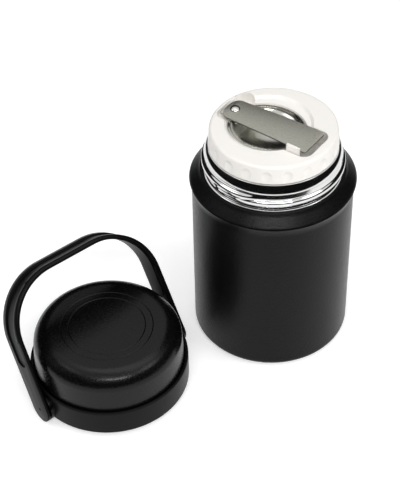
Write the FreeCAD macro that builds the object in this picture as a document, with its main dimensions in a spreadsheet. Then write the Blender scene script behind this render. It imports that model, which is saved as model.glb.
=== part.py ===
# Insulated food jar with a folding spoon in its stopper and a cup lid with a carrying handle.
# Millimetres. Origin: centre of the jar's foot on the surface it stands on. +Z is up.

import FreeCAD, Part
import Sketcher
import math
import os
import re

os.makedirs("parts", exist_ok=True)
doc = FreeCAD.newDocument("FoodJar")

# Driving dimensions: alias, value, meaning
SIZES = [
    ("body_radius", 45.0, "outside of the straight jar wall"),
    ("sheet", 0.8, "drawn steel thickness"),
    ("foot_round", 4.0, "corner between wall and foot"),
    ("foot_rim", 9.0, "width of the steel ring under the foot"),
    ("bead_low", 104.5, "where the bead leaves the wall"),
    ("bead_out", 1.4, "how far the bead stands out from the wall"),
    ("bead_rise", 2.8, "height of the bead's widest level above its foot"),
    ("bead_blend", 3.0, "rounding where the bead leaves the wall"),
    ("bead_round", 1.2, "rounding of the bead"),
    ("slope_in", 4.0, "inner end of the sloping shoulder, in from the wall"),
    ("slope_rise", 5.3, "rise of the sloping shoulder above the bead"),
    ("slope_round", 0.6, "rounding of the shoulder's inner edge"),
    ("step_in", 1.0, "width of the small step at the foot of the neck"),
    ("step_rise", 0.8, "height of that step"),
    ("neck_in", 1.8, "plain neck, in from that step"),
    ("thread_out", 1.4, "how far the thread ridge stands out"),
    ("thread_rise", 5.0, "level of the thread ridge above the step"),
    ("thread_half", 1.7, "half of the ridge's height"),
    ("thread_flat", 0.6, "half of the ridge's crest"),
    ("weld_rise", 5.2, "joint between neck and rolled mouth, above the ridge"),
    ("lip_in", 0.4, "rolled mouth, in from the plain neck"),
    ("lip_wide", 4.2, "width of the rolled mouth"),
    ("lip_rise", 6.8, "height of the rolled mouth"),
    ("lip_round", 1.7, "rounding of the rolled mouth"),
    ("vacuum_gap", 2.8, "space between shell and vessel"),
    ("vessel_lift", 5.0, "space between base plate and vessel"),
    ("vessel_round", 9.0, "corner of the vessel floor"),
    ("vessel_drop", 5.5, "where the vessel starts to narrow, below the bead's foot"),
    ("vessel_taper", 8.0, "height over which the vessel narrows"),
    ("foil_gap", 0.3, "space between vessel and foil"),
    ("foil", 0.4, "foil thickness"),
    ("getter_radius", 6.0, "getter pellet and cup"),
    ("getter_height", 1.6, "getter height"),
    ("dimple_radius", 6.0, "sealing dimple of the base plate"),
    ("dimple_depth", 1.6, "depth of that dimple"),
    ("solder_radius", 3.2, "solder plug of the pumping hole"),
    ("solder_tall", 1.2, "thickness of the solder plug"),
    ("cover_sheet", 0.6, "cover disc"),
    ("fit", 0.2, "general running clearance"),
    ("seat", 0.3, "gap left where two bodies rest on each other"),
    ("fine_round", 0.4, "smallest rounding of an edge"),
    ("stopper_rise", 10.8, "height of the stopper's visible part"),
    ("stopper_out", 2.2, "stopper at its lower edge, out from the mouth"),
    ("stopper_draft", 0.8, "how much narrower the stopper is at its top"),
    ("stopper_round", 1.6, "rounding of the top edge"),
    ("plug_gap", 1.0, "space between plug cup and mouth"),
    ("plug_wall", 1.6, "wall of the plug cup"),
    ("plug_round", 2.0, "lower corner of the plug cup"),
    ("plug_reach", 21.4, "how far the plug cup reaches below the mouth"),
    ("seal_lift", 2.8, "lower face of the seal's groove above the plug cup's foot"),
    ("seal_tall", 3.4, "height of the seal's groove"),
    ("seal_bite", 1.7, "depth of the seal's groove"),
    ("seal_lip", 0.8, "how far the seal's lips slope"),
    ("seal_dip", 0.6, "dip between the seal's lips"),
    ("foam_wall", 0.3, "space round the foam"),
    ("flute_count", 20, "grip flutes"),
    ("flute_radius", 5.0, "radius of a flute's cutter"),
    ("flute_depth", 0.75, "how deep a flute cuts"),
    ("flute_top", 2.6, "arched top of a flute below the top plane"),
    ("flute_arch", 2.6, "height of that arch"),
    ("flute_phase", 9.7, "angle of the first flute from the spoon"),
    ("spoon_heading", -33.0, "direction of the spoon's tip"),
    ("spoon_shift", -1.2, "sideways place of the spoon"),
    ("dish_radius", 24.3, "shallow finger dish"),
    ("dish_floor", 22.9, "finger dish at its floor"),
    ("dish_depth", 1.4, "depth of the finger dish"),
    ("dish_along", -4.0, "centre of the finger dish along the spoon"),
    ("dish_across", 1.2, "centre of the finger dish across the spoon"),
    ("pocket_along", -3.6, "centre of the bowl pocket along the spoon"),
    ("pocket_length", 22.4, "half length of the bowl pocket"),
    ("pocket_half", 19.2, "half width of the bowl pocket"),
    ("pocket_depth", 8.6, "depth of the bowl pocket"),
    ("bowl_centre", -3.0, "centre of the bowl along the spoon"),
    ("bowl_length", 20.4, "half length of the bowl"),
    ("bowl_half", 17.6, "half width of the bowl"),
    ("bowl_depth", 7.6, "depth of the bowl"),
    ("bowl_sheet", 1.0, "bowl thickness"),
    ("rim_drop", 1.9, "bowl rim below the stopper's top plane"),
    ("slot_half", 12.4, "half width of the slot"),
    ("slot_rim", 5.2, "outer end of the slot, in from the stopper's edge"),
    ("slot_corner", 3.0, "length of the slot's slanted corners"),
    ("slot_round", 6.0, "rounding of the slot's end"),
    ("slot_depth", 7.4, "depth of the slot"),
    ("notch_half", 9.2, "half width of the notch at the rivet"),
    ("notch_rim", 2.6, "outer end of the notch, in from the stopper's edge"),
    ("notch_round", 5.0, "rounding of the notch's end"),
    ("notch_depth", 2.6, "depth of the notch"),
    ("scoop_along", -26.4, "finger scoop along the spoon"),
    ("scoop_across", 11.0, "finger scoop across the spoon"),
    ("scoop_radius", 5.6, "finger scoop radius"),
    ("scoop_depth", 7.0, "finger scoop depth"),
    ("rivet_inset", 10.6, "rivet, in from the stopper's edge"),
    ("rivet_hole", 1.6, "rivet shaft radius"),
    ("rivet_head", 2.7, "rivet head radius"),
    ("rivet_foot", 0.6, "rivet head below the shank"),
    ("rivet_dome", 1.0, "rivet head height"),
    ("rivet_round", 0.8, "rounding of the rivet's dome"),
    ("shank_half", 6.6, "half width of the shank"),
    ("shank_sheet", 1.2, "thickness of shank and handle"),
    ("shank_top", 0.1, "shank above the stopper's top plane"),
    ("shank_lap", 2.2, "how far the shank runs over the bowl's edge"),
    ("lug_reach", 7.2, "stop lug beyond the rivet"),
    ("lug_neck", 4.3, "where the stop lug leaves the shank, beyond the rivet"),
    ("lug_side", 1.8, "inner side of the stop lug from the spoon's middle"),
    ("lug_corner", 1.8, "slanted outer corner of the stop lug"),
    ("handle_gap", 0.3, "handle above the shank"),
    ("handle_tail", 8.4, "half width at the rivet end"),
    ("handle_tip", 9.9, "half width near the tip"),
    ("handle_inset", 8.0, "tip of the spoon handle, in from the stopper's edge"),
    ("handle_lap", 5.0, "end of the spoon handle beyond the rivet"),
    ("handle_nose", 2.0, "half width of the flat of that end"),
    ("handle_cheek", 5.8, "half width a little further in"),
    ("handle_chin", 1.7, "distance between these two"),
    ("handle_round", 6.0, "rounding of the handle's sides at the rivet"),
    ("handle_bend", 12.0, "where the handle starts to rise, from the rivet"),
    ("handle_crown", 14.0, "highest place of the handle, from its tip"),
    ("handle_rise", 0.5, "rise of the handle at that place"),
    ("handle_droop", 0.3, "how far the tip drops again"),
    ("handle_corner", 1.6, "corner radius of the tip"),
    ("tab_along", 20.0, "centre of the snap tab along the spoon"),
    ("tab_length", 8.0, "length of the snap tab"),
    ("tab_wall", 1.5, "thickness of the snap tab"),
    ("tab_top", 3.0, "snap tab above the top plane"),
    ("tab_gap", 0.3, "snap tab to the handle's edge"),
    ("lid_x", -90.9, "lid axis"),
    ("lid_y", -56.35, "lid axis"),
    ("thread_fit", 0.5, "screw collar's play on the thread ridge"),
    ("collar_wall", 1.4, "wall of the screw collar"),
    ("collar_top", 11.7, "top of the screw collar"),
    ("band_rim", 3.5, "outside of the lid band, out from the collar"),
    ("band_low", 3.3, "lower edge of the band above the floor"),
    ("band_top", 19.2, "upper edge of the band"),
    ("band_wall", 1.7, "band wall"),
    ("cup_in", 2.3, "lid cup, in from the band"),
    ("cup_draft", 1.3, "how much narrower the cup is below its rounded edge"),
    ("cup_top", 42.7, "top face of the lid"),
    ("cup_round", 6.5, "rounded top edge of the lid"),
    ("cup_low", 12.0, "lower edge of the lid cup inside the band"),
    ("liner_gap", 0.7, "lid's inner cup, in from the collar"),
    ("liner_drop", 3.7, "inner cup below the lid's top face"),
    ("liner_round", 4.0, "inner cup's corner"),
    ("handle_heading", 42.1, "direction of the handle's pivot axis"),
    ("handle_lean", 29.8, "lean of the carrying handle from upright"),
    ("pivot_height", 8.4, "pivot axis above the floor"),
    ("strap_out", 3.1, "strap middle at the pivot, out from the band"),
    ("arch_in", 1.8, "how far the legs come together towards the corners"),
    ("arch_height", 73.3, "strap middle at the top above the pivots"),
    ("arch_round", 32.1, "corner radius of the strap's middle"),
    ("strap_width", 16.1, "strap width"),
    ("strap", 2.4, "strap thickness"),
    ("channel_half", 4.6, "half width of the strap's channel"),
    ("channel_depth", 0.9, "depth of the strap's channel"),
    ("channel_end", 25.0, "where the channel ends above the pivots"),
    ("rib_half", 5.2, "half width of the raised pad inside the strap"),
    ("rib_rise", 0.5, "height of that pad"),
    ("ear_radius", 8.0, "pivot ear"),
    ("ear_sink", 1.9, "how far the ear sinks into the band's wall"),
    ("pin_radius", 2.5, "pivot pin"),
    ("pin_step", 0.5, "how much thinner the pin is in the strap"),
    ("pin_fit", 0.05, "running clearance of the pin"),
]

sheet = doc.addObject("Spreadsheet::Sheet", "Sizes")
for row, (alias, value, meaning) in enumerate(SIZES, start=1):
    sheet.set("A%d" % row, str(value))
    sheet.setAlias("A%d" % row, alias)
    sheet.set("B%d" % row, meaning)
doc.recompute()

# Levels and radii that follow from the sizes: each is a size plus or minus a named distance
DERIVED = {
    "foot_hole": "body_radius - foot_rim",
    "bead_radius": "body_radius + bead_out",
    "slope_radius": "body_radius - slope_in",
    "step_radius": "slope_radius - step_in",
    "neck_radius": "step_radius - neck_in",
    "thread_radius": "neck_radius + thread_out",
    "lip_radius": "neck_radius - lip_in",
    "mouth_radius": "lip_radius - lip_wide",
    "vessel_radius": "body_radius - vacuum_gap - 2 * sheet",
    "bead_height": "bead_low + bead_rise",
    "slope_height": "bead_height + slope_rise",
    "step_height": "slope_height + step_rise",
    "thread_height": "step_height + thread_rise",
    "weld_height": "thread_height + weld_rise",
    "mouth_height": "weld_height + lip_rise",
    "vessel_floor": "vessel_lift + 3 * sheet",
    "vessel_shoulder": "bead_low - vessel_drop",
    "vessel_neck": "vessel_shoulder + vessel_taper",
    "stopper_low": "mouth_height + seat",
    "stopper_top": "mouth_height + seat + stopper_rise",
    "stopper_low_radius": "mouth_radius + stopper_out",
    "stopper_top_radius": "stopper_low_radius - stopper_draft",
    "plug_outer": "mouth_radius - plug_gap",
    "plug_low": "mouth_height - plug_reach",
    "seal_low": "plug_low + seal_lift",
    "seal_inner": "plug_outer - seal_bite",
    "slot_radius": "stopper_top_radius - slot_rim",
    "notch_end": "notch_rim - stopper_top_radius",
    "rivet_along": "rivet_inset - stopper_top_radius",
    "lug_end": "rivet_along - lug_reach",
    "handle_end": "stopper_top_radius - handle_inset",
    "handle_back": "rivet_along - handle_lap",
    "collar_inner": "thread_radius + thread_fit",
    "collar_outer": "collar_inner + collar_wall",
    "band_radius": "collar_outer + band_rim",
    "cup_radius": "band_radius - cup_in",
    "cup_shoulder_radius": "cup_radius - cup_draft",
    "liner_radius": "collar_inner - liner_gap",
    "liner_top": "cup_top - liner_drop",
    "pivot_span": "band_radius + strap_out",
    "arch_half": "pivot_span - arch_in",
}

ALIAS = re.compile(r"[a-z]+(?:_[a-z]+)*")
NAMES = {alias for alias, value, meaning in SIZES}


def bound(text):
    """An expression in the words above, as the document reads it."""
    def spelled(word):
        if word[0] in DERIVED:
            return "(%s)" % bound(DERIVED[word[0]])
        return "Sizes." + word[0] if word[0] in NAMES else word[0]
    return ALIAS.sub(spelled, str(text))


def number(text):
    """The present value of such an expression."""
    return float(getattr(sheet.evalExpression(bound(text)), "Value", sheet.evalExpression(bound(text))))


def tie(thing, **links):
    """Bind properties of an object to expressions; a double underscore stands for a dot."""
    for prop, text in links.items():
        thing.setExpression(prop.replace("__", "."), bound(text))
    return thing


# Sketches: closed outlines of corners, each an (x, y) or an (x, y, radius) of expressions


def corner_arc(before, here, after, radius):
    """Where a rounded corner starts and ends, and its middle."""
    into = (before - here).normalize()
    away = (after - here).normalize()
    half = into.getAngle(away) / 2
    reach = radius / math.tan(half)
    start = here + into * reach
    end = here + away * reach
    centre = here + (into + away).normalize() * (radius / math.sin(half))
    middle = centre + (here - centre).normalize() * radius
    return start, middle, end


def outline(sketch, corners):
    """Draw a closed outline and bind every corner and radius to its expression."""
    spots = [FreeCAD.Vector(number(c[0]), number(c[1]), 0) for c in corners]
    count = len(corners)
    arcs = {}
    for i, corner in enumerate(corners):
        if len(corner) == 3:
            arcs[i] = corner_arc(spots[i - 1], spots[i], spots[(i + 1) % count], number(corner[2]))
    lines = []
    for i in range(count):
        after = (i + 1) % count
        start = arcs[i][2] if i in arcs else spots[i]
        end = arcs[after][0] if after in arcs else spots[after]
        lines.append(sketch.addGeometry(Part.LineSegment(start, end), False))
    rules = []
    links = []

    def place(geometry, point, corner):
        for kind, text in (("DistanceX", corner[0]), ("DistanceY", corner[1])):
            if str(text) == "0":
                axis = -2 if kind == "DistanceX" else -1
                rules.append(Sketcher.Constraint("PointOnObject", geometry, point, axis))
            else:
                links.append((len(rules), text))
                rules.append(Sketcher.Constraint(kind, -1, 1, geometry, point, number(text)))

    for i, corner in enumerate(corners):
        before, here = lines[i - 1], lines[i]
        if i not in arcs:
            rules.append(Sketcher.Constraint("Coincident", before, 2, here, 1))
            place(here, 1, corner)
            continue
        start, middle, end = arcs[i]
        left_turn = (spots[i] - start).cross(end - spots[i]).z > 0
        ends = (start, end) if left_turn else (end, start)
        arc = sketch.addGeometry(Part.Arc(ends[0], middle, ends[1]), False)
        first, last = (1, 2) if left_turn else (2, 1)
        mark = sketch.addGeometry(Part.Point(spots[i]), True)
        place(mark, 1, corner)
        rules.append(Sketcher.Constraint("PointOnObject", mark, 1, before))
        rules.append(Sketcher.Constraint("PointOnObject", mark, 1, here))
        rules.append(Sketcher.Constraint("Tangent", before, 2, arc, first))
        rules.append(Sketcher.Constraint("Tangent", arc, last, here, 1))
        links.append((len(rules), corner[2]))
        rules.append(Sketcher.Constraint("Radius", arc, number(corner[2])))
    sketch.addConstraint(rules)
    for index, text in links:
        sketch.setExpression("Constraints[%d]" % index, bound(text))


def new_sketch(body, plane, name, corners, offset=None):
    """A sketch on one of the body's own origin planes, lifted by an expression."""
    sketch = body.newObject("Sketcher::SketchObject", name)
    origin = [f for f in body.Origin.OriginFeatures if f.Role == plane]
    sketch.AttachmentSupport = (origin[0], [""])
    sketch.MapMode = "FlatFace"
    if offset is not None:
        tie(sketch, AttachmentOffset__Base__z=offset)
    outline(sketch, corners)
    return sketch


def new_body(name):
    body = doc.addObject("PartDesign::Body", name)
    body.Label = name
    return body


def lathe(name, corners):
    """A turned piece: corners are (radius, height) or (radius, height, rounding)."""
    body = new_body(name)
    sketch = new_sketch(body, "XZ_Plane", name + "_profile", corners)
    turn = body.newObject("PartDesign::Revolution", name + "_turned")
    turn.Profile = sketch
    turn.ReferenceAxis = (sketch, ["V_Axis"])
    turn.Angle = 360
    return body


def pad(body, name, plane, corners, length, offset=None, middle=False):
    sketch = new_sketch(body, plane, name + "_outline", corners, offset)
    solid = body.newObject("PartDesign::Pad", name)
    solid.Profile = sketch
    solid.Midplane = middle
    tie(solid, Length=length)
    return solid


def pocket(body, name, plane, corners, length, offset=None, middle=False):
    sketch = new_sketch(body, plane, name + "_outline", corners, offset)
    cut = body.newObject("PartDesign::Pocket", name)
    cut.Profile = sketch
    cut.Midplane = middle
    tie(cut, Length=length)
    return cut


def primitive(body, kind, name, x="0", y="0", z="0", **links):
    """A PartDesign primitive of the body, placed by expressions."""
    solid = body.newObject("PartDesign::" + kind, name)
    tie(solid, **links)
    tie(solid, Placement__Base__x=x, Placement__Base__y=y, Placement__Base__z=z)
    return solid


def put(thing, x="0", y="0", z="0", yaw="0", roll="0"):
    """Place a finished piece by expressions."""
    vector = "create(<<vector>>; %s; %s; %s)" % (bound(x), bound(y), bound(z))
    turn = "create(<<rotation>>; %s; 0; %s)" % (bound(yaw), bound(roll))
    thing.setExpression("Placement", "create(<<placement>>; %s; %s)" % (vector, turn))
    return thing


# Jar


def build_outer_shell():
    inside = "body_radius - sheet"
    return lathe("outer_shell", [
        ("foot_hole", "0"),
        ("body_radius", "0", "foot_round"),
        ("body_radius", "bead_low", "bead_blend"),
        ("bead_radius", "bead_height", "bead_round"),
        ("slope_radius", "slope_height", "slope_round"),
        ("step_radius", "step_height", "fine_round"),
        ("neck_radius", "step_height"),
        ("neck_radius", "thread_height - thread_half", "fine_round"),
        ("thread_radius", "thread_height - thread_flat", "fine_round"),
        ("thread_radius", "thread_height + thread_flat", "fine_round"),
        ("neck_radius", "thread_height + thread_half", "fine_round"),
        ("neck_radius", "weld_height"),
        ("neck_radius - sheet", "weld_height"),
        ("neck_radius - sheet", "slope_height - sheet"),
        (inside, "bead_low - sheet"),
        (inside, "sheet", "foot_round - sheet"),
        ("foot_hole", "sheet"),
    ])


def build_inner_vessel():
    return lathe("inner_vessel", [
        ("0", "vessel_floor - sheet"),
        ("vessel_radius + sheet", "vessel_floor - sheet", "vessel_round + sheet"),
        ("vessel_radius + sheet", "vessel_shoulder"),
        ("mouth_radius + sheet", "vessel_neck"),
        ("mouth_radius + sheet", "mouth_height - sheet", "lip_round - sheet"),
        ("lip_radius - sheet", "mouth_height - sheet", "lip_round - sheet"),
        ("lip_radius - sheet", "weld_height"),
        ("lip_radius", "weld_height"),
        ("lip_radius", "mouth_height", "lip_round"),
        ("mouth_radius", "mouth_height", "lip_round"),
        ("mouth_radius", "vessel_neck - sheet / 2"),
        ("vessel_radius", "vessel_shoulder - sheet / 2"),
        ("vessel_radius", "vessel_floor", "vessel_round"),
        ("0", "vessel_floor"),
    ])


def build_radiation_shield():
    near = "vessel_radius + sheet + foil_gap"
    return lathe("radiation_shield", [
        (near, "vessel_floor + vessel_round"),
        (near + " + foil", "vessel_floor + vessel_round"),
        (near + " + foil", "vessel_shoulder - 2 * sheet"),
        (near, "vessel_shoulder - 2 * sheet"),
    ])


def build_getter():
    low = "vessel_floor - sheet - getter_height"
    return lathe("getter", [
        ("0", low),
        ("getter_radius", low),
        ("getter_radius", "vessel_floor - sheet"),
        ("0", "vessel_floor - sheet"),
    ])


def build_base_plate():
    rise = "sheet + dimple_depth"
    edge = "body_radius - foot_round - fit"
    return lathe("base_plate", [
        ("0", rise),
        ("dimple_radius - sheet", rise),
        ("dimple_radius", "sheet"),
        (edge, "sheet"),
        (edge, "2 * sheet"),
        ("dimple_radius", "2 * sheet"),
        ("dimple_radius - sheet", rise + " + sheet"),
        ("0", rise + " + sheet"),
    ])


def build_vacuum_plug():
    return lathe("vacuum_plug", [
        ("0", "sheet + dimple_depth - solder_tall"),
        ("solder_radius", "sheet + dimple_depth - solder_tall"),
        ("solder_radius", "sheet + dimple_depth"),
        ("0", "sheet + dimple_depth"),
    ])


def build_base_cover():
    return lathe("base_cover", [
        ("0", "sheet - cover_sheet"),
        ("foot_hole - fit", "sheet - cover_sheet"),
        ("foot_hole - fit", "sheet"),
        ("0", "sheet"),
    ])


# Stopper, modelled with the spoon along +X and turned to its heading at the end


def build_stopper_shell():
    body = lathe("stopper_shell", [
        ("0", "stopper_low"),
        ("stopper_low_radius", "stopper_low", "fine_round"),
        ("stopper_top_radius", "stopper_top", "stopper_round"),
        ("0", "stopper_top"),
    ])
    primitive(body, "SubtractiveCone", "finger_dish", "dish_along", "dish_across",
              "stopper_top - dish_depth", Radius1="dish_floor", Radius2="dish_radius", Height="dish_depth")
    hollow = primitive(body, "SubtractiveEllipsoid", "bowl_pocket", "pocket_along", "spoon_shift",
                       "stopper_top - dish_depth", Radius1="pocket_depth", Radius2="pocket_length",
                       Radius3="pocket_half")
    hollow.Angle1 = -90
    hollow.Angle2 = 90
    hollow.Angle3 = 360
    pocket(body, "handle_slot", "XY_Plane", [
        ("bowl_centre", "spoon_shift - slot_half"),
        ("slot_radius - slot_corner", "spoon_shift - slot_half", "stopper_round"),
        ("slot_radius", "spoon_shift - slot_half / 2", "slot_round"),
        ("slot_radius", "spoon_shift + slot_half / 2", "slot_round"),
        ("slot_radius - slot_corner", "spoon_shift + slot_half", "stopper_round"),
        ("bowl_centre", "spoon_shift + slot_half"),
    ], "slot_depth", "stopper_top")
    pocket(body, "rivet_notch", "XY_Plane", [
        ("bowl_centre", "spoon_shift - notch_half"),
        ("bowl_centre", "spoon_shift + notch_half"),
        ("notch_end", "spoon_shift + notch_half", "notch_round"),
        ("notch_end", "spoon_shift - notch_half", "notch_round"),
    ], "notch_depth", "stopper_top")
    primitive(body, "SubtractiveCylinder", "finger_scoop", "scoop_along", "scoop_across",
              "stopper_top - scoop_depth", Radius="scoop_radius", Height="scoop_depth")
    edge = "spoon_shift - handle_tip - tab_gap"
    half = "tab_length / 2"
    pad(body, "snap_tab", "XY_Plane", [
        ("tab_along - " + half, edge + " - tab_wall", "fine_round"),
        ("tab_along + " + half, edge + " - tab_wall", "fine_round"),
        ("tab_along + " + half, edge),
        ("tab_along - " + half, edge),
    ], "slot_depth + tab_top", "stopper_top - slot_depth")
    low_edge = "spoon_shift + handle_tip + tab_gap"
    pad(body, "low_post", "XY_Plane", [
        ("tab_along - " + half, low_edge),
        ("tab_along + " + half, low_edge),
        ("tab_along + " + half, low_edge + " + tab_wall"),
        ("tab_along - " + half, low_edge + " + tab_wall"),
    ], "slot_depth", "stopper_top - slot_depth")
    away = "stopper_top_radius + flute_radius - flute_depth"
    place = ("(%s) * cos(flute_phase * 1 deg)" % away, "(%s) * sin(flute_phase * 1 deg)" % away)
    low = "stopper_low - stopper_round"
    shoulder = "stopper_top - flute_top - flute_arch"
    flute = primitive(body, "SubtractiveCylinder", "flute", place[0], place[1], low,
                      Radius="flute_radius", Height="%s - (%s)" % (shoulder, low))
    crown = primitive(body, "SubtractiveSphere", "flute_crown", place[0], place[1], shoulder,
                      Radius="flute_radius")
    ring = body.newObject("PartDesign::PolarPattern", "flutes")
    ring.Originals = [flute, crown]
    ring.Axis = ([f for f in body.Origin.OriginFeatures if f.Role == "Z_Axis"][0], [""])
    ring.Angle = 360
    tie(ring, Occurrences="flute_count")
    body.Tip = ring
    return put(body, yaw="spoon_heading")


def build_stopper_plug():
    inner = "plug_outer - plug_wall"
    return lathe("stopper_plug", [
        ("0", "plug_low"),
        ("plug_outer", "plug_low", "plug_round"),
        ("plug_outer", "seal_low"),
        ("seal_inner", "seal_low"),
        ("seal_inner", "seal_low + seal_tall"),
        ("plug_outer", "seal_low + seal_tall"),
        ("plug_outer", "stopper_low"),
        (inner, "stopper_low"),
        (inner, "seal_low + seal_tall + plug_wall"),
        ("seal_inner - plug_wall", "seal_low + seal_tall + plug_wall"),
        ("seal_inner - plug_wall", "plug_low + plug_wall"),
        ("0", "plug_low + plug_wall"),
    ])


def build_stopper_foam():
    wide = "seal_inner - plug_wall - foam_wall"
    return lathe("stopper_foam", [
        ("0", "plug_low + plug_wall"),
        (wide, "plug_low + plug_wall"),
        (wide, "stopper_low"),
        ("0", "stopper_low"),
    ])


def build_stopper_seal():
    inner = "seal_inner + pin_fit"
    outer = "mouth_radius - fit"
    return lathe("stopper_seal", [
        (inner, "seal_low + fit"),
        (outer + " - seal_lip", "seal_low + fit"),
        (outer, "seal_low + seal_tall / 3"),
        (outer + " - seal_dip", "seal_low + seal_tall / 2"),
        (outer, "seal_low + seal_tall * 2 / 3"),
        (outer + " - seal_lip", "seal_low + seal_tall - fit"),
        (inner, "seal_low + seal_tall - fit"),
    ])


# Folding spoon


def half_ellipsoid(name, shrink):
    """The lower half of the bowl's ellipsoid, smaller all round by an expression."""
    solid = doc.addObject("Part::Ellipsoid", name)
    tie(solid, Radius1="bowl_depth - " + shrink, Radius2="bowl_length - " + shrink,
        Radius3="bowl_half - " + shrink)
    solid.Angle1 = -90
    solid.Angle2 = 0
    solid.Angle3 = 360
    return solid


def joined(kind, name, base, tool):
    result = doc.addObject("Part::" + kind, name)
    result.Base = base
    result.Tool = tool
    return result


def build_spoon_bowl():
    dish = joined("Cut", "bowl_dish", half_ellipsoid("bowl_outside", "0"),
                  half_ellipsoid("bowl_inside", "bowl_sheet"))
    tie(dish, Placement__Base__x="bowl_centre", Placement__Base__y="spoon_shift",
        Placement__Base__z="stopper_top - rim_drop")
    shank = new_body("shank")
    top = "stopper_top + shank_top"
    rim = "stopper_top - rim_drop"
    lap = "bowl_centre - bowl_length + shank_lap"
    pad(shank, "shank_plate", "XZ_Plane", [
        ("lug_end", top),
        ("lug_end", top + " - shank_sheet"),
        ("rivet_along + rivet_head", top + " - shank_sheet"),
        (lap, rim + " - shank_sheet"),
        (lap + " + shank_sheet", rim),
        ("rivet_along + rivet_head + shank_sheet", top),
    ], "2 * shank_half", middle=True)
    cut_depth = "4 * shank_sheet"
    cut_top = top + " + shank_sheet"
    pocket(shank, "lug_back", "XY_Plane", [
        ("lug_end - fit", "lug_side"),
        ("rivet_along - lug_neck", "lug_side"),
        ("rivet_along - lug_neck", "shank_half + fit"),
        ("lug_end - fit", "shank_half + fit"),
    ], cut_depth, cut_top)
    pocket(shank, "lug_front", "XY_Plane", [
        ("lug_end - fit", "-shank_half - fit"),
        ("lug_end + lug_corner + fit", "-shank_half - fit"),
        ("lug_end - fit", "lug_corner + fit - shank_half"),
    ], cut_depth, cut_top)
    hole = primitive(shank, "SubtractiveCylinder", "shank_hole", "rivet_along", "0",
                     top + " - 2 * shank_sheet", Radius="rivet_hole", Height="4 * shank_sheet")
    shank.Tip = hole
    tie(shank, Placement__Base__y="spoon_shift")
    spoon = joined("Fuse", "spoon_bowl_solid", dish, shank)
    spoon.Label = "spoon_bowl"
    return put(spoon, yaw="spoon_heading")


def build_spoon_handle():
    low = "stopper_top + shank_top + handle_gap"
    body = new_body("spoon_handle")
    bend = "rivet_along + handle_bend"
    crown = "handle_end - handle_crown"
    high = low + " + handle_rise"
    tip = low + " + handle_rise - handle_droop"
    pad(body, "handle_plate", "XZ_Plane", [
        ("handle_back", low),
        (bend, low),
        (crown, high),
        ("handle_end", tip),
        ("handle_end", tip + " + shank_sheet", "fine_round"),
        (crown, high + " + shank_sheet"),
        (bend, low + " + shank_sheet"),
        ("handle_back", low + " + shank_sheet", "fine_round"),
    ], "4 * handle_tip", middle=True)
    far = "2 * handle_tip + fit"
    for name, side in (("edge_left", "-1"), ("edge_right", "1")):
        pocket(body, name, "XY_Plane", [
            ("handle_back - handle_corner", "%s * handle_nose" % side),
            ("handle_back", "%s * handle_nose" % side),
            ("handle_back + handle_chin", "%s * handle_cheek" % side),
            ("rivet_along + shank_sheet", "%s * handle_tail" % side, "handle_round"),
            ("handle_end - handle_corner", "%s * handle_tip" % side),
            ("handle_end", "%s * (handle_tip - handle_corner)" % side),
            ("handle_end + handle_corner", "%s * (handle_tip - handle_corner)" % side),
            ("handle_end + handle_corner", "%s * (%s)" % (side, far)),
            ("handle_back - handle_corner", "%s * (%s)" % (side, far)),
        ], "6 * shank_sheet", "stopper_top + 4 * shank_sheet")
    hole = primitive(body, "SubtractiveCylinder", "handle_hole", "rivet_along", "0", "stopper_top",
                     Radius="rivet_hole + pin_fit", Height="4 * shank_sheet")
    body.Tip = hole
    turned = "spoon_shift * sin(-spoon_heading * 1 deg)"
    raised = "spoon_shift * cos(spoon_heading * 1 deg)"
    return put(body, turned, raised, yaw="spoon_heading")


def build_spoon_rivet():
    low = "stopper_top + shank_top - shank_sheet"
    high = "stopper_top + shank_top + handle_gap + shank_sheet + pin_fit"
    body = lathe("spoon_rivet", [
        ("0", low + " - rivet_foot"),
        ("rivet_head", low + " - rivet_foot"),
        ("rivet_head", low),
        ("rivet_hole", low),
        ("rivet_hole", high),
        ("rivet_head", high),
        ("rivet_head", high + " + rivet_dome", "rivet_round"),
        ("0", high + " + rivet_dome"),
    ])
    x = "rivet_along * cos(spoon_heading * 1 deg) - spoon_shift * sin(spoon_heading * 1 deg)"
    y = "rivet_along * sin(spoon_heading * 1 deg) + spoon_shift * cos(spoon_heading * 1 deg)"
    return put(body, x, y)


# Lid, modelled on its own axis and put beside the jar


def build_lid_cup():
    inner_low = "cup_radius - sheet"
    return put(lathe("lid_cup", [
        (inner_low, "cup_low"),
        ("cup_radius", "cup_low"),
        ("cup_radius", "band_top"),
        ("cup_shoulder_radius", "cup_top", "cup_round"),
        ("0", "cup_top"),
        ("0", "cup_top - sheet"),
        ("cup_shoulder_radius - sheet", "cup_top - sheet", "cup_round - sheet"),
        (inner_low, "band_top"),
    ]), "lid_x", "lid_y")


def build_lid_liner():
    return put(lathe("lid_liner", [
        ("liner_radius", "collar_top"),
        ("liner_radius", "liner_top", "liner_round"),
        ("0", "liner_top"),
        ("0", "liner_top - sheet"),
        ("liner_radius - sheet", "liner_top - sheet", "liner_round - sheet"),
        ("liner_radius - sheet", "collar_top - sheet"),
        ("collar_outer", "collar_top - sheet"),
        ("collar_outer", "collar_top"),
    ]), "lid_x", "lid_y")


def build_lid_foam():
    outer = "cup_shoulder_radius - sheet - foam_wall"
    inner = "liner_radius + foam_wall"
    return put(lathe("lid_foam", [
        (inner, "cup_low + sheet"),
        (outer, "cup_low + sheet"),
        (outer, "cup_top - cup_round"),
        ("cup_shoulder_radius - cup_round", "cup_top - sheet"),
        ("0", "cup_top - sheet"),
        ("0", "liner_top + foam_wall"),
        (inner, "liner_top + foam_wall", "liner_round + foam_wall"),
    ]), "lid_x", "lid_y")


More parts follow.
